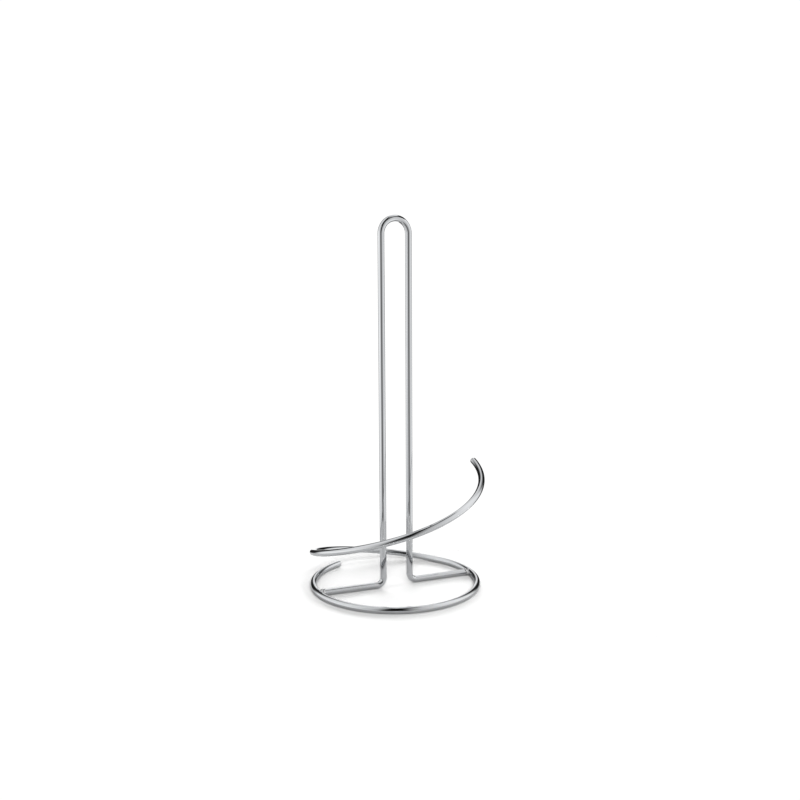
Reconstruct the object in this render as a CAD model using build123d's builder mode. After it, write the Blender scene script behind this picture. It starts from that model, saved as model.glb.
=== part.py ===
"""Free-standing paper towel holder made of bent steel wire.

Millimetres, +Z up. The origin is the centre of the base ring, on the surface that the holder stands on.
X runs along the plane of the mast's two legs and -Y is the front. Angles are in degrees, counter-clockwise
about Z from +X, and go on past 360 along the base wire, which makes more than one and a half turns.
"""
from build123d import *
from math import cos, exp, pi, radians, sin, sqrt
import os

# Wire stock
wire_diameter = 5.6
end_chamfer = 0.4

# Base wire: a flat ring that lifts off the table and climbs on as the roll-stop arm
ring_radius = 72.0
tail_angle = 108.5
lift_angle = 386.0
tip_angle = 718.3
arm_rise = 101.0
climb_ease = 60.0
widen_angle = 625.0
arm_widening = 6.5
arc_count = 27

# Mast: one wire, bent into a tall loop with a foot at the bottom of each leg
mast_height = 321.2
mast_x = -0.2
mast_y = -2.8
leg_spacing = 25.9
foot_bend_radius = 6.0
foot_angle = -6.3

# Welds between the mast's feet and the inside of the ring
weld_gap = 0.5
weld_length = 9.0
weld_thickness = 6.3
weld_ground_clearance = 0.25

wire_radius = wire_diameter / 2
ring_inner_radius = ring_radius - wire_radius
leg_offset = leg_spacing / 2


def eased_climb(past_lift):
    """Climb in units of the full climb rate: it starts level and eases into a steady slope."""
    return past_lift - climb_ease * (1 - exp(-past_lift / climb_ease))


def arm_height(angle):
    """Height of the wire's centreline."""
    past_lift = max(angle - lift_angle, 0)
    return wire_radius + arm_rise * eased_climb(past_lift) / eased_climb(tip_angle - lift_angle)


def arm_radius(angle):
    """Distance of the wire's centreline from the Z axis: the arm flares out towards its tip."""
    past_widen = max(angle - widen_angle, 0)
    return ring_radius + arm_widening * (past_widen / (tip_angle - widen_angle)) ** 2


def arm_point(angle):
    """Point on the centreline of the base wire."""
    radius = arm_radius(angle)
    return Vector(radius * cos(radians(angle)), radius * sin(radians(angle)), arm_height(angle))


def ring_direction(angle):
    """Direction of the wire where it lies flat in the ring."""
    return Vector(-sin(radians(angle)), cos(radians(angle)), 0)


def foot_length(leg, direction):
    """Distance from a leg's axis, along its foot, to the inner face of the ring."""
    along = leg.X * direction.X + leg.Y * direction.Y
    return -along + sqrt(along**2 + ring_inner_radius**2 - leg.X**2 - leg.Y**2)


# Outward directions of the feet, the legs' axes at foot height, and the points where the feet meet the ring
right_direction = Vector(cos(radians(foot_angle)), sin(radians(foot_angle)), 0)
left_direction = right_direction * -1
right_leg = Vector(mast_x + leg_offset, mast_y, wire_radius)
left_leg = Vector(mast_x - leg_offset, mast_y, wire_radius)
right_joint = right_leg + right_direction * foot_length(right_leg, right_direction)
left_joint = left_leg + left_direction * foot_length(left_leg, left_direction)

bend_top = Vector(0, 0, foot_bend_radius)
shoulder_height = mast_height - wire_radius - leg_offset
right_shoulder = Vector(right_leg.X, right_leg.Y, shoulder_height)
left_shoulder = Vector(left_leg.X, left_leg.Y, shoulder_height)

# Base wire: the ring lies flat, then tangent arcs carry the arm up to its tip
arc_turn = (tip_angle - lift_angle) / arc_count

with BuildPart() as base_and_arm_wire:
    with BuildSketch(Plane(origin=arm_point(tail_angle), z_dir=ring_direction(tail_angle))):
        Circle(wire_radius)
    revolve(axis=Axis.Z, revolution_arc=lift_angle - tail_angle)
    with BuildLine() as arm_path:
        arc = TangentArc(
            arm_point(lift_angle),
            arm_point(lift_angle + arc_turn),
            tangent=ring_direction(lift_angle),
        )
        for step in range(2, arc_count + 1):
            arc = TangentArc(arc @ 1, arm_point(lift_angle + step * arc_turn), tangent=arc % 1)
    with BuildSketch(Plane(origin=arm_path.line @ 0, z_dir=arm_path.line % 0)):
        Circle(wire_radius)
    sweep()
    for cut_end in (arm_point(tail_angle), arm_point(tip_angle)):
        chamfer(base_and_arm_wire.faces().sort_by_distance(cut_end)[0].edges(), end_chamfer)

# Mast wire: left foot, left leg, half-turn at the top, right leg, right foot
with BuildPart() as mast_wire:
    with BuildLine() as mast_path:
        left_foot = Line(
            left_joint - left_direction * weld_gap,
            left_leg + left_direction * foot_bend_radius,
        )
        left_bend = TangentArc(left_foot @ 1, left_leg + bend_top, tangent=left_foot % 1)
        left_upright = Line(left_bend @ 1, left_shoulder)
        top_bend = TangentArc(left_shoulder, right_shoulder, tangent=(0, 0, 1))
        right_upright = Line(right_shoulder, right_leg + bend_top)
        right_bend = TangentArc(
            right_upright @ 1,
            right_leg + right_direction * foot_bend_radius,
            tangent=(0, 0, -1),
        )
        right_foot = Line(right_bend @ 1, right_joint - right_direction * weld_gap)
    with BuildSketch(Plane(origin=mast_path.line @ 0, z_dir=mast_path.line % 0)):
        Circle(wire_radius)
    sweep()


def make_weld(joint, direction):
    """Weld metal round the end of one foot: long across the joint, trimmed to both wires and the table."""
    across = Plane(origin=joint, x_dir=(-direction.Y, direction.X, 0), z_dir=direction)
    with BuildPart() as weld:
        with BuildSketch(across):
            Ellipse(weld_length / 2, weld_thickness / 2)
            Rectangle(weld_length, weld_thickness, align=(Align.CENTER, Align.MAX), mode=Mode.SUBTRACT)
        revolve(axis=Axis(joint, across.x_dir))
        add(mast_wire.part, mode=Mode.SUBTRACT)
        add(base_and_arm_wire.part, mode=Mode.SUBTRACT)
        split(bisect_by=Plane.XY.offset(weld_ground_clearance), keep=Keep.TOP)
    return weld


left_foot_weld = make_weld(left_joint, left_direction)
right_foot_weld = make_weld(right_joint, right_direction)

base_and_arm_wire.part.label = "base_and_arm_wire"
mast_wire.part.label = "mast_wire"
left_foot_weld.part.label = "left_foot_weld"
right_foot_weld.part.label = "right_foot_weld"

os.makedirs("parts", exist_ok=True)
for piece in (base_and_arm_wire, mast_wire, left_foot_weld, right_foot_weld):
    export_step(piece.part, f"parts/{piece.part.label}.step")

ring_length = radians(lift_angle - tail_angle) * ring_radius
arm_length = sum(edge.length for edge in arm_path.edges())
mast_length = sum(edge.length for edge in mast_path.edges())
for wire, length in ((base_and_arm_wire, ring_length + arm_length), (mast_wire, mast_length)):
    print(
        f"{wire.part.label}: {length:.1f} mm of wire, section x length "
        f"{pi * wire_radius**2 * length:.0f} mm3, volume {wire.part.volume:.0f} mm3"
    )
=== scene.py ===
"""Free-standing paper towel holder of chromed steel wire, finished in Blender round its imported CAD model.

Metres, +Z up, in the CAD model's frame: the origin is the centre of the base ring, on the floor, and -Y is
the front. Angles along the base wire are in degrees, counter-clockwise about Z from +X, and go past 360.
"""
import math

import bmesh
import bpy
import numpy as np
from mathutils import Matrix, Vector


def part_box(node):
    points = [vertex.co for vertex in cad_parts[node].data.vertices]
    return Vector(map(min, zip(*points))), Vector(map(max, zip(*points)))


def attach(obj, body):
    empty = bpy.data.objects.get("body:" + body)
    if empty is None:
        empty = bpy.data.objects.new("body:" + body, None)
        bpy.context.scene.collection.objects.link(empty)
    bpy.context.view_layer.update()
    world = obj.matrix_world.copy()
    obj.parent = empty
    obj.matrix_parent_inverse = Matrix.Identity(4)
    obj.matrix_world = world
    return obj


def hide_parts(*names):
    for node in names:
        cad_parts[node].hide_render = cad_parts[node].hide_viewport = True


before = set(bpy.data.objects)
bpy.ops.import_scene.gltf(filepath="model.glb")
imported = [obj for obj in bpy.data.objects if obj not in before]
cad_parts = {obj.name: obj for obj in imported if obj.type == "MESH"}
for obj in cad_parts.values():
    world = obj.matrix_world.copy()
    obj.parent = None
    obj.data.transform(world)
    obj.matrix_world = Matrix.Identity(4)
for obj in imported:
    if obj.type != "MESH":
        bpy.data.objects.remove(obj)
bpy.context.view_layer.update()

MM = 0.001

# Camera: where it stands, which way it looks, and its lens on a 36 mm sensor
CAMERA_POSITION = Vector((-0.40209, -0.76982, 0.30427))
CAMERA_HEADING = math.radians(27.902)
CAMERA_TILT_DOWN = math.radians(9.131)
CAMERA_ROLL = math.radians(-0.262)
CAMERA_LENS_MM = 46.143

# Studio: the sheet that the object stands on, lamps round it, and a dark card over the mast.
# Bearings are degrees from the direction towards the camera, and grow towards the camera's right.
SHEET_FRONT = 0.22
SHEET_BACK = 0.10
SHEET_SIDE = 0.20
# The sheet gives back little light, so that the surroundings add little to it. The lamps make up for that.
SHEET_GREY = 0.10
SHEET_GREY_MIRRORED = 0.070
SHEET_ROUGHNESS_MIRRORED = 0.35
# Each lamp: bearing, elevation, how wide it looks, and how much of pure white it gives the sheet
LAMPS = (
    (0, 24, 20, 0.15),
    (0, 42, 20, 0.10),
    (20, 42, 24, 0.08),
    (20, 54, 34, 0.20),
    (-100, 68, 34, 0.05),
    (120, 24, 24, 0.13),
    (160, 24, 20, 0.07),
    (180, 24, 20, 0.14),
    (200, 18, 20, 0.12),
)
CARD_HEIGHT = 0.383
CARD_INNER = 0.035
CARD_OUTER = 0.135
CARD_FROM = math.radians(-52)
CARD_TO = math.radians(160)
CARD_STEPS = 48
CARD_BLACK = 0.01
CARD_FADE_ACROSS = 0.3
CARD_FADE_AROUND = 0.15

# Surroundings that the chrome mirrors. Each pair of angles, in degrees, is where a change starts and ends.
WALLS_SPREAD = 0.55
WALLS_SPREAD_FROM_TO = (40, 80)
LEVEL_FROM_TO = (2, 24)
LEFT_BOOST = 0.15
LOW_LIGHT = 0.23
LOW_LIGHT_FROM_TO = (-8, 18)
FLAG_DARKNESS = 0.985
FLAG_INNER_FROM_TO = (116, 143)
FLAG_OUTER_FROM_TO = (166, 174)
FLAG_TOP_FROM_TO = (28, 58)
CEILING_DARKNESS = 0.2
CEILING_FROM_TO = (55, 90)
BACKDROP_BRIGHTNESS = 1.05

# Wire stock
WIRE_SIDES = 64
STEP = 1.0 * MM
BEND_STEPS = 28
HALF_TURN_STEPS = 64
CUT_ROUNDING = 0.45 * MM
CUT_ROUNDING_STEPS = 7
CUT_FLAT_SHARES = (0.75, 0.5, 0.25)
WIRE_RADIUS = 2.8 * MM

# Base wire: a flat ring that lifts off the floor and climbs on as the roll-stop arm
RING_RADIUS = 72.0 * MM
TAIL_ANGLE = 108.5
LIFT_ANGLE = 386.0
TIP_ANGLE = 718.3
ARM_RISE = 101.0 * MM
CLIMB_EASE = 60.0
WIDEN_ANGLE = 625.0
ARM_WIDENING = 6.5 * MM

# Mast: one wire, bent into a tall loop with a foot at the bottom of each leg
MAST_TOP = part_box("mast_wire")[1].z
MAST_X = -0.2 * MM
MAST_Y = -2.8 * MM
LEG_OFFSET = 12.95 * MM
FOOT_BEND_RADIUS = 6.0 * MM
FOOT_HEADING = math.radians(-6.3)
FOOT_GAP = 0.5 * MM

# Weld beads, in millimetres. Triples run outward, along the ring and up.
CORE_RADII = (2.1, 3.2, 3.0)
CORE_SET_BACK = 0.6
CROWN_RADII = (1.7, 1.9, 0.95)
CROWN_LIFT = 1.9
LUMP_COUNT = 12
LUMP_JITTER = 0.25
LUMP_SIZES = (1.0, 1.45)
LUMP_SET_BACKS = (0.9, 1.9)
LUMP_SPOKE = 2.05
LUMP_STRETCH = (1.2, 1.1, 1.0)
RIPPLE_COUNT = 9
RIPPLE_REACH = 3.9
RIPPLE_RADIUS = 2.3
RIPPLE_TAPER = 1.3
RIPPLE_UNEVENNESS = (0.92, 1.08)
RIPPLE_SET_BACK = 0.1
RIPPLE_STRETCH = (0.7, 0.8, 1.1)
BLOB_SUBDIVISIONS = 4
VOXEL = 0.16 * MM
SOFTEN_FACTOR = 0.5
SOFTEN_ROUNDS = 12
FLOOR_CLEARANCE = 0.25 * MM

# The part of a noise's 0 to 1 that it mostly keeps to
NOISE_LOW = 0.3
NOISE_HIGH = 0.7


# ---------------------------------------------------------------- wire centrelines


def eased_climb(past_lift):
    """Climb in units of the full climb rate: it starts level and eases into a steady slope."""
    return past_lift - CLIMB_EASE * (1 - np.exp(-past_lift / CLIMB_EASE))


def base_wire_path():
    """Centreline of the base wire, from the tail's cut end round the ring and up the arm to its tip."""
    count = int(math.radians(TIP_ANGLE - TAIL_ANGLE) * RING_RADIUS / STEP)
    angle = np.linspace(TAIL_ANGLE, TIP_ANGLE, count)
    climb = eased_climb(np.maximum(angle - LIFT_ANGLE, 0)) / eased_climb(TIP_ANGLE - LIFT_ANGLE)
    widening = np.maximum(angle - WIDEN_ANGLE, 0) / (TIP_ANGLE - WIDEN_ANGLE)
    radius = RING_RADIUS + ARM_WIDENING * widening**2
    turn = np.radians(angle)
    height = WIRE_RADIUS + ARM_RISE * climb
    return np.stack([radius * np.cos(turn), radius * np.sin(turn), height], axis=1)


def line(start, end):
    """Points along a straight run, without its last point."""
    count = max(2, int((end - start).length / STEP))
    return [start.lerp(end, i / count) for i in range(count)]


def bend(corner, came_from, goes_to, radius):
    """Points along a quarter turn that rounds a square corner, without its last point."""
    centre = corner + (came_from + goes_to) * radius
    turns = [math.pi / 2 * i / BEND_STEPS for i in range(BEND_STEPS)]
    return [centre - (goes_to * math.cos(a) + came_from * math.sin(a)) * radius for a in turns]


def half_turn(left, right):
    """Points over the top of the mast, without the last point."""
    centre = (left + right) / 2
    across = (right - left) / 2
    up = Vector((0, 0, across.length))
    turns = [math.pi * i / HALF_TURN_STEPS for i in range(HALF_TURN_STEPS)]
    return [centre - across * math.cos(a) + up * math.sin(a) for a in turns]


def foot_direction(side):
    """Outward direction of the foot on one side: 1 is the right leg and -1 the left one."""
    return Vector((math.cos(FOOT_HEADING), math.sin(FOOT_HEADING), 0)) * side


def leg_foot(side):
    """Where a leg's axis meets its foot's axis."""
    return Vector((MAST_X + side * LEG_OFFSET, MAST_Y, WIRE_RADIUS))


def weld_joint(side):
    """Where a foot's axis meets the inner face of the ring."""
    corner = leg_foot(side)
    direction = foot_direction(side)
    inner = RING_RADIUS - WIRE_RADIUS
    along = corner.x * direction.x + corner.y * direction.y
    reach = -along + math.sqrt(along**2 + inner**2 - corner.x**2 - corner.y**2)
    return corner + direction * reach


def mast_wire_path():
    """Centreline of the mast wire: left foot, left leg, half turn at the top, right leg, right foot."""
    up = Vector((0, 0, 1))
    shoulder_lift = up * (MAST_TOP - 2 * WIRE_RADIUS - LEG_OFFSET)
    left, right = leg_foot(-1), leg_foot(1)
    left_out, right_out = foot_direction(-1), foot_direction(1)
    points = line(weld_joint(-1) - left_out * FOOT_GAP, left + left_out * FOOT_BEND_RADIUS)
    points += bend(left, left_out, up, FOOT_BEND_RADIUS)
    points += line(left + up * FOOT_BEND_RADIUS, left + shoulder_lift)
    points += half_turn(left + shoulder_lift, right + shoulder_lift)
    points += line(right + shoulder_lift, right + up * FOOT_BEND_RADIUS)
    points += bend(right, up, right_out, FOOT_BEND_RADIUS)
    points += line(right + right_out * FOOT_BEND_RADIUS, weld_joint(1) - right_out * FOOT_GAP)
    points.append(weld_joint(1) - right_out * FOOT_GAP)
    return np.array(points)


# ---------------------------------------------------------------- wire meshes


def unit(vectors):
    """The vectors, each made one unit long."""
    return vectors / np.linalg.norm(vectors, axis=-1, keepdims=True)


def carried_frames(path):
    """Tangent and two normals at each point, carried without twisting along a path that starts level."""
    tangents = unit(np.gradient(path, axis=0))
    normal = np.cross(tangents[0], (0.0, 0.0, 1.0))
    first = []
    for tangent in tangents:
        normal = unit(normal - tangent * np.dot(normal, tangent))
        first.append(normal)
    first = np.array(first)
    return tangents, first, np.cross(tangents, first)


def rounded_cut(end, outward):
    """Centres and radii of the rings that round off a cut end, from the wire's side to its middle."""
    turns = np.linspace(0, math.pi / 2, CUT_ROUNDING_STEPS)[1:]
    rings = [
        (end + outward * CUT_ROUNDING * (math.sin(a) - 1), WIRE_RADIUS - CUT_ROUNDING * (1 - math.cos(a)))
        for a in turns
    ]
    flat = rings[-1][1]
    rings += [(end, flat * share) for share in CUT_FLAT_SHARES]
    return rings


def tube(name, path):
    """Closed tube round a path, with rounded cut ends.

    The attribute straight_wire holds, for each point, its place on the same wire pulled straight along Z.
    """
    tangents, first, second = carried_frames(path)
    along = np.concatenate([[0], np.cumsum(np.linalg.norm(np.diff(path, axis=0), axis=1))])
    start_cut = [(c, r, 0) for c, r in rounded_cut(path[0], -tangents[0])]
    end_cut = [(c, r, -1) for c, r in rounded_cut(path[-1], tangents[-1])]
    body = [(path[i], WIRE_RADIUS, i) for i in range(len(path))]
    body = [row for row in body if CUT_ROUNDING < along[row[2]] < along[-1] - CUT_ROUNDING]
    rows = start_cut[::-1] + body + end_cut

    turns = np.linspace(0, 2 * math.pi, WIRE_SIDES, endpoint=False)
    cos, sin = np.cos(turns)[:, None], np.sin(turns)[:, None]
    vertices, straight = [], []
    for centre, radius, i in rows:
        vertices.append(centre + radius * (cos * first[i] + sin * second[i]))
        shift = np.dot(centre - path[i], tangents[i])
        height = np.full((WIRE_SIDES, 1), along[i] + shift)
        straight.append(np.hstack([radius * cos, radius * sin, height]))
    poles = [rows[0], rows[-1]]
    vertices = np.vstack(vertices + [np.array([p[0] for p in poles])])
    straight = np.vstack(straight + [np.array([(0, 0, 0), (0, 0, along[-1])])])

    faces = []
    for row in range(len(rows) - 1):
        for side in range(WIRE_SIDES):
            a, b = row * WIRE_SIDES + side, row * WIRE_SIDES + (side + 1) % WIRE_SIDES
            faces.append((a, b, b + WIRE_SIDES, a + WIRE_SIDES))
    first_pole = len(rows) * WIRE_SIDES
    last_row = (len(rows) - 1) * WIRE_SIDES
    for side in range(WIRE_SIDES):
        following = (side + 1) % WIRE_SIDES
        faces.append((following, side, first_pole))
        faces.append((last_row + side, last_row + following, first_pole + 1))

    mesh = bpy.data.meshes.new(name)
    mesh.from_pydata(vertices.tolist(), [], faces)
    attribute = mesh.attributes.new("straight_wire", "FLOAT_VECTOR", "POINT")
    attribute.data.foreach_set("vector", straight.astype(np.float32).ravel())
    return finished_object(name, mesh)


def finished_object(name, mesh):
    """An object for the mesh, smooth shaded, with all its faces turned outward."""
    shape = bmesh.new()
    shape.from_mesh(mesh)
    bmesh.ops.recalc_face_normals(shape, faces=shape.faces)
    shape.to_mesh(mesh)
    shape.free()
    mesh.polygons.foreach_set("use_smooth", [True] * len(mesh.polygons))
    mesh.update()
    piece = bpy.data.objects.new(name, mesh)
    bpy.context.scene.collection.objects.link(piece)
    return piece


# ---------------------------------------------------------------- weld beads


def add_blob(shape, centre, radii, axes):
    """Ellipsoid with its three radii along the three axes."""
    turn = Matrix(axes).transposed().to_4x4()
    size = Matrix.Diagonal((*radii, 1.0))
    matrix = Matrix.Translation(centre) @ turn @ size
    bmesh.ops.create_icosphere(shape, subdivisions=BLOB_SUBDIVISIONS, radius=1.0, matrix=matrix)


def add_lumps(shape, joint, axes, random):
    """Lumps of weld metal in a circle round the foot's end."""
    out, along, up = axes
    for i in range(LUMP_COUNT):
        turn = 2 * math.pi * (i + random.uniform(-LUMP_JITTER, LUMP_JITTER)) / LUMP_COUNT
        spoke = along * math.cos(turn) + up * math.sin(turn)
        lump = random.uniform(*LUMP_SIZES) * MM
        centre = joint - out * random.uniform(*LUMP_SET_BACKS) * MM + spoke * LUMP_SPOKE * MM
        add_blob(shape, centre, [lump * stretch for stretch in LUMP_STRETCH], axes)


def add_ripples(shape, joint, axes, random):
    """A run of weld metal along the inside of the ring, thinner towards its ends."""
    out, along, _ = axes
    reach = RIPPLE_REACH * MM
    for i in range(RIPPLE_COUNT):
        share = 2 * i / (RIPPLE_COUNT - 1) - 1
        radius = (RIPPLE_RADIUS - RIPPLE_TAPER * share**2) * random.uniform(*RIPPLE_UNEVENNESS) * MM
        inward = (RING_RADIUS - WIRE_RADIUS) * (1 - math.cos(share * reach / RING_RADIUS))
        centre = joint + along * share * reach - out * (RIPPLE_SET_BACK * MM + inward)
        add_blob(shape, centre, [radius * stretch for stretch in RIPPLE_STRETCH], axes)


def weld_bead(name, side, seed, crown):
    """Weld metal round the end of one foot: a core, a crown this far out over the ring, lumps and ripples."""
    random = np.random.default_rng(seed)
    joint = weld_joint(side)
    out = foot_direction(side)
    up = Vector((0, 0, 1))
    axes = (out, up.cross(out), up)
    shape = bmesh.new()
    add_blob(shape, joint - out * CORE_SET_BACK * MM, [radius * MM for radius in CORE_RADII], axes)
    crown_centre = joint + out * crown + up * CROWN_LIFT * MM
    add_blob(shape, crown_centre, [radius * MM for radius in CROWN_RADII], axes)
    add_lumps(shape, joint, axes, random)
    add_ripples(shape, joint, axes, random)
    mesh = bpy.data.meshes.new(name)
    shape.to_mesh(mesh)
    shape.free()
    melted = melted_mesh(name, mesh)
    lift_off_floor(melted)
    return finished_object(name, melted)


def melted_mesh(name, mesh):
    """The shapes in a mesh run together into one skin, with the creases between them softened."""
    blobs = bpy.data.objects.new(name + "_blobs", mesh)
    bpy.context.scene.collection.objects.link(blobs)
    remesh = blobs.modifiers.new("run_together", "REMESH")
    remesh.mode = "VOXEL"
    remesh.voxel_size = VOXEL
    soften = blobs.modifiers.new("soften", "SMOOTH")
    soften.factor = SOFTEN_FACTOR
    soften.iterations = SOFTEN_ROUNDS
    bpy.context.view_layer.update()
    evaluated = blobs.evaluated_get(bpy.context.evaluated_depsgraph_get())
    melted = bpy.data.meshes.new_from_object(evaluated)
    bpy.data.objects.remove(blobs)
    melted.name = name
    return melted


def lift_off_floor(mesh):
    """Flattens the underside of a weld bead just clear of the floor."""
    points = np.empty(len(mesh.vertices) * 3, np.float32)
    mesh.vertices.foreach_get("co", points)
    points = points.reshape(-1, 3)
    points[:, 2] = np.maximum(points[:, 2], FLOOR_CLEARANCE)
    mesh.vertices.foreach_set("co", points.ravel())
    mesh.update()


# ---------------------------------------------------------------- materials


def new_material(name):
    """A node material with an empty tree and its Principled shader, metallic all over."""
    material = bpy.data.materials.new(name)
    material.use_nodes = True
    nodes = material.node_tree.nodes
    nodes.clear()
    output = nodes.new("ShaderNodeOutputMaterial")
    shader = nodes.new("ShaderNodeBsdfPrincipled")
    shader.inputs["Metallic"].default_value = 1.0
    material.node_tree.links.new(shader.outputs["BSDF"], output.inputs["Surface"])
    return material, shader


def scaled_noise(material, vector, scale, detail):
    """Noise of the given size, in cells per metre along each axis of the vector."""
    tree = material.node_tree
    mapping = tree.nodes.new("ShaderNodeMapping")
    mapping.inputs["Scale"].default_value = scale
    noise = tree.nodes.new("ShaderNodeTexNoise")
    noise.inputs["Scale"].default_value = 1.0
    noise.inputs["Detail"].default_value = detail
    tree.links.new(vector, mapping.inputs["Vector"])
    tree.links.new(mapping.outputs["Vector"], noise.inputs["Vector"])
    return noise.outputs["Fac"]


def ranged(material, noise, low, high):
    """The noise's usual range stretched to low..high."""
    tree = material.node_tree
    node = tree.nodes.new("ShaderNodeMapRange")
    node.inputs["From Min"].default_value = NOISE_LOW
    node.inputs["From Max"].default_value = NOISE_HIGH
    node.inputs["To Min"].default_value = low
    node.inputs["To Max"].default_value = high
    tree.links.new(noise, node.inputs["Value"])
    return node.outputs["Result"]


def math_node(tree, operation, first, second=None):
    """A Math node. Each input is a socket or a number."""
    node = tree.nodes.new("ShaderNodeMath")
    node.operation = operation
    for socket, value in zip(node.inputs, (first, second)):
        if value is None:
            continue
        if isinstance(value, (int, float)):
            socket.default_value = value
        else:
            tree.links.new(value, socket)
    return node.outputs["Value"]


def mixed_colours(material, factor, first, second):
    """One colour fading into another."""
    tree = material.node_tree
    node = tree.nodes.new("ShaderNodeMix")
    node.data_type = "RGBA"
    node.inputs["A"].default_value = (*first, 1.0)
    node.inputs["B"].default_value = (*second, 1.0)
    tree.links.new(factor, node.inputs["Factor"])
    return node.outputs["Result"]


def bumped(material, height, distance, under=None):
    """Normal of a surface with this relief, distance metres from its lowest to its highest."""
    tree = material.node_tree
    node = tree.nodes.new("ShaderNodeBump")
    node.inputs["Strength"].default_value = 1.0
    node.inputs["Distance"].default_value = distance
    tree.links.new(height, node.inputs["Height"])
    if under is not None:
        tree.links.new(under, node.inputs["Normal"])
    return node.outputs["Normal"]


def chromed_wire_material():
    """Bright chrome on drawn wire: fine lines along the wire, slow waves, and faint smudges."""
    material, shader = new_material("chromed_wire")
    tree = material.node_tree
    wire = tree.nodes.new("ShaderNodeAttribute")
    wire.attribute_name = "straight_wire"
    along_wire = wire.outputs["Vector"]
    line_height = 0.0012 * MM
    wave_height = 0.022 * MM
    grey, pale = (0.525, 0.535, 0.55), (0.57, 0.58, 0.592)
    draw_lines = scaled_noise(material, along_wire, (2600, 2600, 28), detail=3.0)
    waves = scaled_noise(material, along_wire, (170, 170, 26), detail=1.0)
    smudges = scaled_noise(material, along_wire, (140, 140, 45), detail=4.0)
    colour = mixed_colours(material, smudges, grey, pale)
    roughness = math_node(
        tree,
        "ADD",
        ranged(material, smudges, 0.008, 0.032),
        ranged(material, draw_lines, 0.0, 0.02),
    )
    wavy = bumped(material, waves, wave_height)
    lined = bumped(material, draw_lines, line_height, under=wavy)
    tree.links.new(colour, shader.inputs["Base Color"])
    tree.links.new(roughness, shader.inputs["Roughness"])
    tree.links.new(lined, shader.inputs["Normal"])
    return material


def chromed_weld_material():
    """Chrome over a weld bead: duller, blotchy, and with tiny ripples that the plating doesn't hide."""
    material, shader = new_material("chromed_weld")
    tree = material.node_tree
    point = tree.nodes.new("ShaderNodeTexCoord").outputs["Object"]
    ripple_height = 0.035 * MM
    grey, pale = (0.4, 0.405, 0.415), (0.66, 0.66, 0.66)
    ripples = scaled_noise(material, point, (900, 900, 900), detail=3.0)
    stains = scaled_noise(material, point, (420, 420, 420), detail=2.0)
    colour = mixed_colours(material, stains, grey, pale)
    roughness = ranged(material, ripples, 0.04, 0.11)
    normal = bumped(material, ripples, ripple_height)
    tree.links.new(colour, shader.inputs["Base Color"])
    tree.links.new(roughness, shader.inputs["Roughness"])
    tree.links.new(normal, shader.inputs["Normal"])
    return material


# ---------------------------------------------------------------- studio


def add_camera():
    """Camera at the front left, a little lower than the top of the mast."""
    data = bpy.data.cameras.new("camera")
    data.sensor_width = 36.0
    data.lens = CAMERA_LENS_MM
    camera = bpy.data.objects.new("camera", data)
    bpy.context.scene.collection.objects.link(camera)
    turn = Matrix.Rotation(-CAMERA_HEADING, 4, "Z")
    turn @= Matrix.Rotation(math.pi / 2 - CAMERA_TILT_DOWN, 4, "X")
    turn @= Matrix.Rotation(CAMERA_ROLL, 4, "Z")
    camera.matrix_world = Matrix.Translation(CAMERA_POSITION) @ turn
    bpy.context.scene.camera = camera


def add_floor():
    """Sheet under the object, turned to the camera."""
    floor = bpy.data.meshes.new("floor")
    corners = [
        (-SHEET_SIDE, -SHEET_FRONT, 0),
        (SHEET_SIDE, -SHEET_FRONT, 0),
        (SHEET_SIDE, SHEET_BACK, 0),
        (-SHEET_SIDE, SHEET_BACK, 0),
    ]
    turn = Matrix.Rotation(-CAMERA_HEADING, 4, "Z")
    floor.from_pydata([turn @ Vector(c) for c in corners], [], [(0, 1, 2, 3)])
    floor.materials.append(sheet_material())
    piece = bpy.data.objects.new("floor", floor)
    bpy.context.scene.collection.objects.link(piece)


def sheet_material():
    """Matt to the camera, and with a soft shine in the chrome."""
    material = bpy.data.materials.new("floor_white")
    material.use_nodes = True
    tree = material.node_tree
    tree.nodes.clear()
    matt = tree.nodes.new("ShaderNodeBsdfDiffuse")
    matt.inputs["Color"].default_value = (SHEET_GREY, SHEET_GREY, SHEET_GREY, 1)
    shiny = tree.nodes.new("ShaderNodeBsdfPrincipled")
    mirrored = (SHEET_GREY_MIRRORED, SHEET_GREY_MIRRORED, SHEET_GREY_MIRRORED, 1)
    shiny.inputs["Base Color"].default_value = mirrored
    shiny.inputs["Roughness"].default_value = SHEET_ROUGHNESS_MIRRORED
    rays = tree.nodes.new("ShaderNodeLightPath")
    seen = tree.nodes.new("ShaderNodeMixShader")
    output = tree.nodes.new("ShaderNodeOutputMaterial")
    tree.links.new(rays.outputs["Is Camera Ray"], seen.inputs["Fac"])
    tree.links.new(shiny.outputs["BSDF"], seen.inputs[1])
    tree.links.new(matt.outputs["BSDF"], seen.inputs[2])
    tree.links.new(seen.outputs["Shader"], output.inputs["Surface"])
    return material


def add_lamps():
    """Lamps that each shine one way everywhere. They light the sheet and aren't seen in the chrome."""
    for i, (bearing, elevation, width, share) in enumerate(LAMPS):
        climb = math.radians(elevation)
        data = bpy.data.lights.new(f"lamp_{i}", "SUN")
        data.angle = math.radians(width)
        data.energy = share * math.pi / (SHEET_GREY * math.sin(climb))
        lamp = bpy.data.objects.new(f"lamp_{i}", data)
        lamp.visible_glossy = False
        lamp.rotation_euler = (math.pi / 2 - climb, 0, math.radians(bearing) - CAMERA_HEADING)
        bpy.context.scene.collection.objects.link(lamp)


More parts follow.
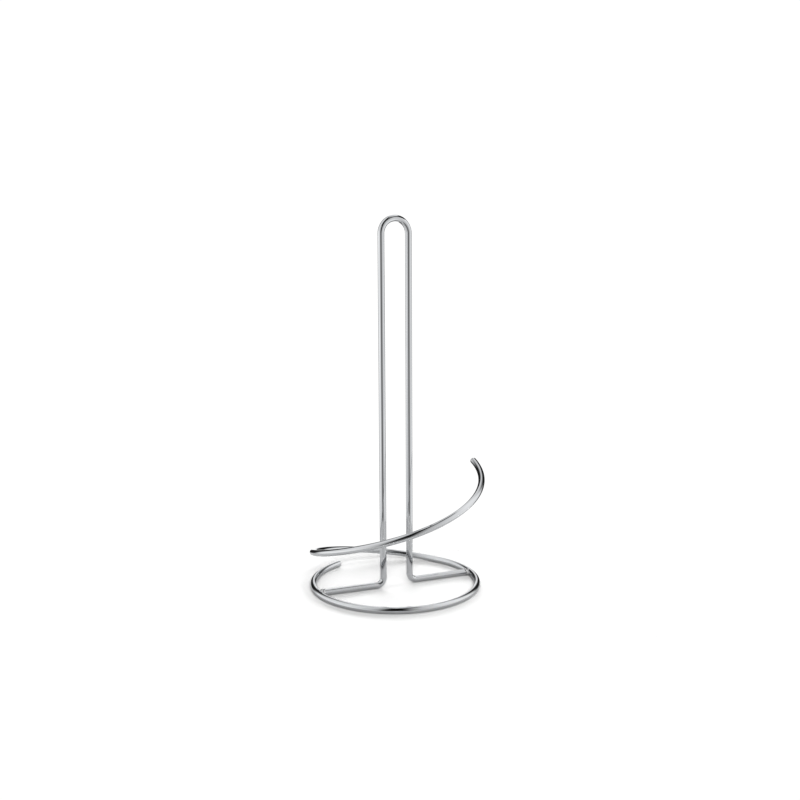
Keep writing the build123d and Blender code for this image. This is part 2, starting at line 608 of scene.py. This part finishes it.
def add_dark_card():
    """Dark card, part of a ring, hung over the mast: only reflections show it. The attribute card_place runs
    from 0 to 1 across the card and round it, and its edges fade out.
    """
    vertices, places, faces = [], [], []
    for i in range(CARD_STEPS + 1):
        bearing = CARD_FROM + (CARD_TO - CARD_FROM) * i / CARD_STEPS - CAMERA_HEADING
        for share, radius in enumerate((CARD_INNER, CARD_OUTER)):
            vertices.append((radius * math.sin(bearing), -radius * math.cos(bearing), CARD_HEIGHT))
            places += [share, i / CARD_STEPS, 0]
    for i in range(CARD_STEPS):
        faces.append((2 * i, 2 * i + 1, 2 * i + 3, 2 * i + 2))
    mesh = bpy.data.meshes.new("dark_card")
    mesh.from_pydata(vertices, [], faces)
    mesh.attributes.new("card_place", "FLOAT_VECTOR", "POINT").data.foreach_set("vector", places)
    mesh.materials.append(dark_card_material())
    card = bpy.data.objects.new("dark_card", mesh)
    card.visible_camera = False
    card.visible_diffuse = False
    card.visible_shadow = False
    bpy.context.scene.collection.objects.link(card)


def dark_card_material():
    """Black, fading to clear at the card's edges."""
    material = bpy.data.materials.new("dark_card")
    material.use_nodes = True
    tree = material.node_tree
    tree.nodes.clear()
    card_place = tree.nodes.new("ShaderNodeAttribute")
    card_place.attribute_name = "card_place"
    split = tree.nodes.new("ShaderNodeSeparateXYZ")
    tree.links.new(card_place.outputs["Vector"], split.inputs["Vector"])
    across = faded_ends(tree, split.outputs["X"], CARD_FADE_ACROSS)
    around = faded_ends(tree, split.outputs["Y"], CARD_FADE_AROUND)
    cover = math_node(tree, "MULTIPLY", across, around)
    clear = tree.nodes.new("ShaderNodeBsdfTransparent")
    black = tree.nodes.new("ShaderNodeBsdfDiffuse")
    black.inputs["Color"].default_value = (CARD_BLACK, CARD_BLACK, CARD_BLACK, 1)
    mixed = tree.nodes.new("ShaderNodeMixShader")
    output = tree.nodes.new("ShaderNodeOutputMaterial")
    tree.links.new(cover, mixed.inputs["Fac"])
    tree.links.new(clear.outputs["BSDF"], mixed.inputs[1])
    tree.links.new(black.outputs["BSDF"], mixed.inputs[2])
    tree.links.new(mixed.outputs["Shader"], output.inputs["Surface"])
    return material


def faded_ends(tree, value, width):
    """1 in the middle of the range 0 to 1, and down to 0 over this width at both ends."""
    node = tree.nodes.new("ShaderNodeMapRange")
    node.interpolation_type = "SMOOTHERSTEP"
    node.inputs["From Max"].default_value = width
    from_end = math_node(tree, "SUBTRACT", 1.0, value)
    tree.links.new(math_node(tree, "MINIMUM", value, from_end), node.inputs["Value"])
    return node.outputs["Result"]


def world_step(tree, value, low, high):
    """0 below low, 1 above high and smooth between them. Angles are in degrees and the value in radians."""
    node = tree.nodes.new("ShaderNodeMapRange")
    node.interpolation_type = "SMOOTHERSTEP"
    node.inputs["From Min"].default_value = math.radians(low)
    node.inputs["From Max"].default_value = math.radians(high)
    tree.links.new(value, node.inputs["Value"])
    return node.outputs["Result"]


def light_round_the_room(tree, bearing):
    """Brightness at each bearing: white walls at both sides and behind, and a dark gap towards the camera."""
    stops = (
        (-180, 1.1),
        (-140, 1.1),
        (-113, 1.15),
        (-83, 1.22),
        (-68, 1.18),
        (-53, 1.06),
        (-38, 0.88),
        (-25, 0.65),
        (-16, 0.14),
        (-10, 0.01),
        (10, 0.01),
        (15, 0.1),
        (22, 0.42),
        (37, 0.82),
        (52, 0.98),
        (67, 1.16),
        (97, 1.38),
        (115, 1.33),
        (140, 1.1),
        (180, 1.1),
    )
    ramp = tree.nodes.new("ShaderNodeValToRGB")
    ramp.color_ramp.interpolation = "LINEAR"
    elements = ramp.color_ramp.elements
    while len(elements) < len(stops):
        elements.new(0.5)
    # All positions come before any colour, in case moving a stop reorders the ramp.
    for element, (degrees, _) in zip(elements, stops):
        element.position = (degrees + 180) / 360
    for element, (_, brightness) in zip(elements, stops):
        element.color = (brightness, brightness, brightness, 1)
    share = math_node(tree, "DIVIDE", bearing, 2 * math.pi)
    share = math_node(tree, "ADD", share, 0.5)
    tree.links.new(share, ramp.inputs["Fac"])
    return ramp.outputs["Color"]


def add_studio_light():
    """Surroundings that light the object and that the chrome mirrors. The camera itself sees plain white."""
    world = bpy.data.worlds.new("studio")
    bpy.context.scene.world = world
    world.use_nodes = True
    tree = world.node_tree
    tree.nodes.clear()
    direction = tree.nodes.new("ShaderNodeTexCoord").outputs["Generated"]
    rotate = tree.nodes.new("ShaderNodeVectorRotate")
    rotate.rotation_type = "Z_AXIS"
    rotate.inputs["Angle"].default_value = CAMERA_HEADING
    tree.links.new(direction, rotate.inputs["Vector"])
    split = tree.nodes.new("ShaderNodeSeparateXYZ")
    tree.links.new(rotate.outputs["Vector"], split.inputs["Vector"])
    towards_camera = math_node(tree, "MULTIPLY", split.outputs["Y"], -1.0)
    bearing = math_node(tree, "ARCTAN2", split.outputs["X"], towards_camera)
    elevation = math_node(tree, "ARCSINE", split.outputs["Z"])

    to_the_right = math_node(tree, "MAXIMUM", bearing, 0.0)
    spread = math_node(tree, "MULTIPLY", world_step(tree, elevation, *WALLS_SPREAD_FROM_TO), WALLS_SPREAD)
    spread = math_node(tree, "MULTIPLY", spread, to_the_right)
    walls = light_round_the_room(tree, math_node(tree, "SUBTRACT", bearing, spread))
    level = math_node(tree, "ABSOLUTE", elevation)
    level = math_node(tree, "SUBTRACT", 1.0, world_step(tree, level, *LEVEL_FROM_TO))
    to_the_left = math_node(tree, "SUBTRACT", 0.5, math_node(tree, "SINE", bearing))
    boost = math_node(tree, "MULTIPLY", to_the_left, level)
    boost = math_node(tree, "MULTIPLY", boost, LEFT_BOOST)
    walls = math_node(tree, "MULTIPLY", walls, math_node(tree, "ADD", 1.0, boost))
    low_light = math_node(tree, "SUBTRACT", 1.0, world_step(tree, elevation, *LOW_LIGHT_FROM_TO))
    low_light = math_node(tree, "MULTIPLY", low_light, LOW_LIGHT)
    lifted = math_node(tree, "MAXIMUM", walls, low_light)

    off_middle = math_node(tree, "ABSOLUTE", bearing)
    flag_inner = world_step(tree, off_middle, *FLAG_INNER_FROM_TO)
    flag_outer = math_node(tree, "SUBTRACT", 1.0, world_step(tree, off_middle, *FLAG_OUTER_FROM_TO))
    flag_top = math_node(tree, "SUBTRACT", 1.0, world_step(tree, elevation, *FLAG_TOP_FROM_TO))
    flag = math_node(tree, "MULTIPLY", flag_inner, flag_outer)
    flag = math_node(tree, "MULTIPLY", flag, flag_top)
    flag = math_node(tree, "MULTIPLY", flag, FLAG_DARKNESS)
    unflagged = math_node(tree, "SUBTRACT", 1.0, flag)
    ceiling = world_step(tree, elevation, *CEILING_FROM_TO)
    ceiling = math_node(tree, "MULTIPLY", ceiling, CEILING_DARKNESS)
    below_ceiling = math_node(tree, "SUBTRACT", 1.0, ceiling)
    brightness = math_node(tree, "MULTIPLY", lifted, unflagged)
    brightness = math_node(tree, "MULTIPLY", brightness, below_ceiling)

    studio = tree.nodes.new("ShaderNodeBackground")
    tree.links.new(brightness, studio.inputs["Color"])
    white = tree.nodes.new("ShaderNodeBackground")
    white.inputs["Color"].default_value = (1, 1, 1, 1)
    white.inputs["Strength"].default_value = BACKDROP_BRIGHTNESS
    seen = tree.nodes.new("ShaderNodeMixShader")
    rays = tree.nodes.new("ShaderNodeLightPath")
    output = tree.nodes.new("ShaderNodeOutputWorld")
    tree.links.new(rays.outputs["Is Camera Ray"], seen.inputs["Fac"])
    tree.links.new(studio.outputs["Background"], seen.inputs[1])
    tree.links.new(white.outputs["Background"], seen.inputs[2])
    tree.links.new(seen.outputs["Shader"], output.inputs["Surface"])


# ---------------------------------------------------------------- scene


def place(piece, node, material):
    """The piece takes a material in its one slot, the CAD node that it replaces is hidden, and the piece
    rides on the one body.
    """
    piece.data.materials.clear()
    piece.data.materials.append(material)
    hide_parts(node)
    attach(piece, "root")


add_camera()
add_floor()
add_lamps()
add_dark_card()
add_studio_light()
bpy.context.scene.view_settings.view_transform = "Standard"

wire_chrome = chromed_wire_material()
weld_chrome = chromed_weld_material()
place(tube("base_and_arm_tube", base_wire_path()), "base_and_arm_wire", wire_chrome)
place(tube("mast_tube", mast_wire_path()), "mast_wire", wire_chrome)
place(weld_bead("left_weld_bead", -1, 4, -0.8 * MM), "left_foot_weld", weld_chrome)
place(weld_bead("right_weld_bead", 1, 9, 1.3 * MM), "right_foot_weld", weld_chrome)
